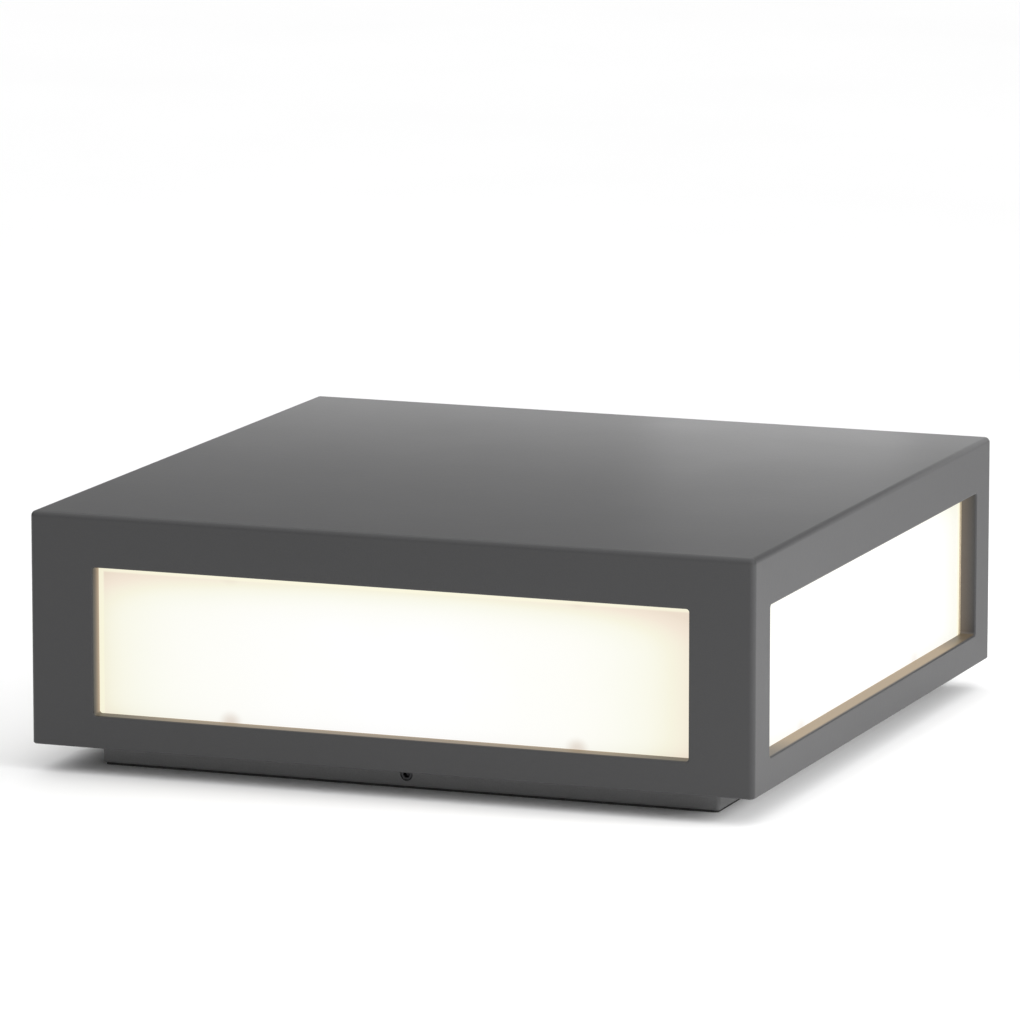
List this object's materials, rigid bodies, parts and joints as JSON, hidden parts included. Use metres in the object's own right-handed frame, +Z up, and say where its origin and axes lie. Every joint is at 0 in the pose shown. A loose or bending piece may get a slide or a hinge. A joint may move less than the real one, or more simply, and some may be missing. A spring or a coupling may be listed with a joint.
{
  "type": "bollard light",
  "caption": "Low square bollard light with a lift-off hood, an opal window in each side and an inset plinth that bolts to a wall, pillar or slab.",
  "frame": {"origin": "centre of the underside of the foot gasket", "axes": "+Z up, -Y towards the front with a lock screw, +X to the right seen from the front"},
  "size_m": [0.3, 0.3, 0.104],
  "materials": {
    "powder_coat": "fine-textured satin anthracite powder coat on die-cast aluminium",
    "plinth_coat": "fine-textured satin anthracite powder coat on die-cast aluminium",
    "opal_diffuser": "satin opal polycarbonate, lit from inside",
    "silicone": "matte translucent silicone",
    "rubber": "matte black EPDM rubber",
    "spring_steel": "stainless spring steel sheet",
    "zinc_steel": "bright zinc-plated steel",
    "black_steel": "black-oxide alloy steel",
    "white_sheet": "matt white reflector paint on steel sheet",
    "led_board": "white solder mask on an aluminium-core board",
    "led_phosphor": "yellow phosphor in a white package",
    "driver_plastic": "white moulded polycarbonate",
    "black_nylon": "black moulded nylon",
    "terminal_nylon": "natural moulded nylon",
    "brass": "turned brass",
    "tinned_copper": "tinned copper",
    "brown_wire": "brown insulation",
    "blue_wire": "blue insulation",
    "green_yellow_wire": "green and yellow striped insulation",
    "red_wire": "red insulation",
    "black_wire": "black insulation"
  },
  "bodies": {
    "base": {"base_plate": "plinth_coat", "foot_gasket": "rubber", "base_seal": "rubber", "cable_grommet": "rubber", "cord_clamp": "black_nylon", "cord_clamp_screws": "zinc_steel", "standoffs": "zinc_steel", "gear_tray": "white_sheet", "tray_screws": "zinc_steel", "tray_grommet": "rubber", "led_board_front": "led_board", "led_board_right": "led_board", "led_board_back": "led_board", "led_board_left": "led_board", "led_chips": "led_phosphor", "led_board_screws": "zinc_steel", "led_connector": "terminal_nylon", "board_links": "tinned_copper", "driver_case": "driver_plastic", "driver_end_caps": "black_nylon", "driver_screws": "zinc_steel", "terminal_block": "terminal_nylon", "terminal_barrels": "brass", "terminal_screws": "zinc_steel", "terminal_mount_screws": "zinc_steel", "earth_ring": "tinned_copper", "earth_screw": "zinc_steel", "live_wire": "brown_wire", "neutral_wire": "blue_wire", "earth_wire": "green_yellow_wire", "led_lead_positive": "red_wire", "led_lead_negative": "black_wire"},
    "hood": {"housing": "powder_coat", "diffuser_front": "opal_diffuser", "diffuser_right": "opal_diffuser", "diffuser_back": "opal_diffuser", "diffuser_left": "opal_diffuser", "window_seal_front": "silicone", "window_seal_right": "silicone", "window_seal_back": "silicone", "window_seal_left": "silicone", "lower_clips": "spring_steel", "upper_clips": "spring_steel", "lower_clip_screws": "zinc_steel", "upper_clip_screws": "zinc_steel", "roof_reflector": "white_sheet", "reflector_screws": "zinc_steel", "lock_blocks": "zinc_steel", "lock_block_screws": "zinc_steel"},
    "lock_screw_front": {"lock_screw_front": "black_steel"},
    "lock_screw_back": {"lock_screw_back": "black_steel"}
  },
  "joints": [
    {"name": "hood_lift", "type": "slide", "parent": "base", "child": "hood", "axis": [0, 0, 1], "range_m": [0, 0.12]},
    {"name": "front_lock_travel", "type": "slide", "parent": "base", "child": "lock_screw_front", "axis": [0, -1, 0], "range_m": [0, 0.004]},
    {"name": "back_lock_travel", "type": "slide", "parent": "base", "child": "lock_screw_back", "axis": [0, 1, 0], "range_m": [0, 0.004]}
  ]
}
